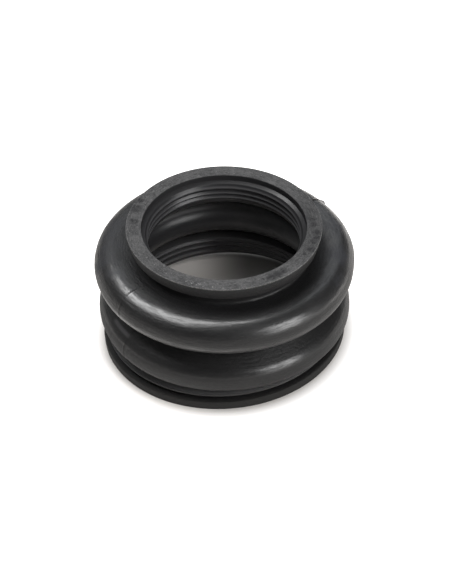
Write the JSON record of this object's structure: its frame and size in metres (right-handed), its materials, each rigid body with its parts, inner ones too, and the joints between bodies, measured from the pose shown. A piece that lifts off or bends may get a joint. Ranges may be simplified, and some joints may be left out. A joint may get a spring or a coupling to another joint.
{
  "type": "ball joint boot",
  "caption": "Moulded rubber boot that seals a ball joint, with round folds, an open flanged neck for the stud side and a wide flanged end for the socket.",
  "frame": {"origin": "middle of the underside of the wide flange, on the boot's axis", "axes": "+Z along the boot's axis, from the wide flange up to the narrow flange; X and Y lie in the underside"},
  "size_m": [0.054, 0.054, 0.0277],
  "materials": {
    "rubber": "satin black moulded rubber"
  },
  "bodies": {
    "root": {"boot": "rubber"}
  },
  "joints": []
}
